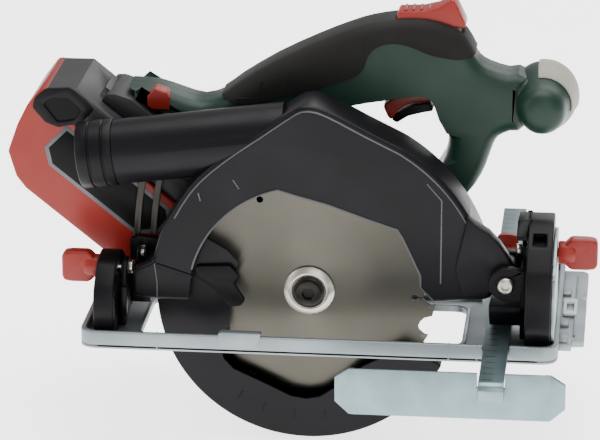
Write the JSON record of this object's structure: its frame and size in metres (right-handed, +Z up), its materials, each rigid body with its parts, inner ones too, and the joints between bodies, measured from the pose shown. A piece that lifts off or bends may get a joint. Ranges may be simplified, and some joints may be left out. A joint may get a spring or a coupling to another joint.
{
  "type": "cordless circular saw",
  "caption": "Cordless circular saw: toothed blade in a hinged guard on a tilting base plate with parallel guide, D-handle, front knob, motor and slide-on battery.",
  "frame": {"origin": "on the sole of the base plate, below the spindle in X and on the mid-plane of the handle and the battery pack in Y", "axes": "+X forward in the cutting direction, +Y to the motor side, +Z up from the sole"},
  "size_m": [0.3869, 0.3428, 0.2809],
  "materials": {
    "plate": "cast, satin",
    "black_plastic": "fine grain",
    "zinc": "zinc plated",
    "insert": "pale",
    "red_plastic": "satin",
    "dark_red_plastic": "satin",
    "black_metal": "black powder coat",
    "steel": "turned",
    "cast": "cast",
    "green_plastic": "moulded satin",
    "dark_steel": "blackened",
    "soft_rubber": "matt",
    "grey_rubber": "matt",
    "board": "circuit board",
    "contact": "bright",
    "blade_steel": "ground",
    "winding": "lacquered windings",
    "grey_plastic": "satin",
    "cells": "wrapped cells"
  },
  "bodies": {
    "base": {"base_plate": "plate", "front_quadrant": "black_plastic", "scale_plate": "zinc", "rear_quadrant": "black_plastic", "cut_indicator": "insert"},
    "parallel_guide": {"guide_arm": "zinc", "guide_fence": "zinc"},
    "guide_clamp": {"guide_clamp_screw": "red_plastic"},
    "tilt_frame": {"front_hinge_block": "black_metal", "depth_pivot_screw": "steel", "rear_tilt_bracket": "black_metal", "depth_guide": "dark_steel", "front_bevel_bolt": "steel", "rear_bevel_bolt": "steel"},
    "front_bevel_clamp": {"front_wing_knob": "red_plastic"},
    "rear_bevel_clamp": {"rear_wing_knob": "red_plastic"},
    "saw_unit": {"upper_guard": "black_metal", "guard_screw_1": "steel", "guard_screw_2": "steel", "guard_screw_3": "steel", "dust_nozzle": "black_plastic", "gear_case": "cast", "motor_housing": "green_plastic", "motor_cap": "black_plastic", "stator": "dark_steel", "rotor_bearing": "steel", "spindle_bearing": "steel", "handle_near": "green_plastic", "handle_far": "green_plastic", "soft_grip": "soft_rubber", "front_knob": "green_plastic", "knob_cap": "grey_rubber", "switch_module": "black_plastic", "control_board": "board", "housing_screw_1": "steel", "housing_screw_2": "steel", "housing_screw_3": "steel", "battery_seat": "black_plastic", "battery_contacts": "contact", "depth_bolt": "steel"},
    "depth_clamp": {"depth_lever": "black_plastic"},
    "spindle_lock": {"spindle_lock_button": "black_plastic"},
    "spindle_group": {"spindle": "steel", "spindle_gear": "steel", "inner_flange": "steel", "outer_flange": "steel", "blade_bolt": "dark_steel", "blade": "blade_steel"},
    "rotor_group": {"rotor": "winding", "fan": "black_plastic", "pinion": "steel"},
    "lower_guard_group": {"lower_guard": "black_metal", "guard_lever": "black_plastic", "guard_spring": "steel"},
    "trigger_group": {"trigger": "dark_red_plastic"},
    "thumb_lock_group": {"thumb_lock": "red_plastic"},
    "battery_release": {"battery_button": "red_plastic"},
    "battery": {"battery_case": "grey_plastic", "battery_shell": "red_plastic", "cell_block": "cells"}
  },
  "joints": [
    {"name": "bevel", "type": "hinge", "parent": "base", "child": "tilt_frame", "pos_m": [0, -0.08, 0.009], "axis": [1, 0, 0], "range_deg": [0, 45]},
    {"name": "depth", "type": "hinge", "parent": "tilt_frame", "child": "saw_unit", "pos_m": [0.1287, -0.062, 0.0452], "axis": [0, 1, 0], "range_deg": [0, 20]},
    {"name": "guide_slide", "type": "slide", "parent": "base", "child": "parallel_guide", "axis": [0, -1, 0], "range_m": [-0.04, 0.09]},
    {"name": "guide_clamp_turn", "type": "hinge", "parent": "base", "child": "guide_clamp", "pos_m": [0.124, 0.043, 0.02], "axis": [0, 0, 1], "range_deg": [-150, 30]},
    {"name": "front_bevel_clamp_turn", "type": "hinge", "parent": "tilt_frame", "child": "front_bevel_clamp", "pos_m": [0.1607, -0.0635, 0.0577], "axis": [1, 0, 0], "range_deg": [-180, 0]},
    {"name": "rear_bevel_clamp_turn", "type": "hinge", "parent": "tilt_frame", "child": "rear_bevel_clamp", "pos_m": [-0.1348, -0.0695, 0.0399], "axis": [-1, 0, 0], "range_deg": [-180, 0]},
    {"name": "depth_clamp_flip", "type": "hinge", "parent": "saw_unit", "child": "depth_clamp", "pos_m": [-0.1098, -0.0557, 0.0452], "axis": [-1, 0, 0], "range_deg": [0, 35]},
    {"name": "spindle_spin", "type": "hinge", "parent": "saw_unit", "child": "spindle_group", "pos_m": [0, -0.062, 0.0255], "axis": [0, -1, 0], "continuous": true},
    {"name": "rotor_spin", "type": "hinge", "parent": "saw_unit", "child": "rotor_group", "pos_m": [-0.01202, 0.018, 0.04511], "axis": [0, -1, 0], "continuous": true},
    {"name": "lower_guard_swing", "type": "hinge", "parent": "saw_unit", "child": "lower_guard_group", "pos_m": [0, -0.062, 0.0255], "axis": [0, 1, 0], "range_deg": [0, 118], "stiffness_Nm_per_rad": 0.25, "springref_deg": -126.05},
    {"name": "trigger_pull", "type": "hinge", "parent": "saw_unit", "child": "trigger_group", "pos_m": [0.0745, 0, 0.149], "axis": [0, 1, 0], "range_deg": [0, 9], "stiffness_Nm_per_rad": 0.8, "springref_deg": -6.88},
    {"name": "thumb_lock_press", "type": "slide", "parent": "saw_unit", "child": "thumb_lock_group", "axis": [0, 0, -1], "range_m": [0, 0.003], "stiffness_N_per_m": 800, "springref_m": -0.002},
    {"name": "battery_release_press", "type": "slide", "parent": "saw_unit", "child": "battery_release", "axis": [0, 0, -1], "range_m": [0, 0.002], "stiffness_N_per_m": 800, "springref_m": -0.002},
    {"name": "spindle_lock_press", "type": "slide", "parent": "saw_unit", "child": "spindle_lock", "axis": [-1, 0, 0], "range_m": [0, 0.0025], "stiffness_N_per_m": 800, "springref_m": -0.002},
    {"name": "battery_slide", "type": "slide", "parent": "saw_unit", "child": "battery", "axis": [-0.7771, 0, 0.6293], "range_m": [0, 0.075]}
  ],
  "couplings": [
    {"joint": "rotor_spin", "follows": "spindle_spin", "ratio": -3.6}
  ]
}
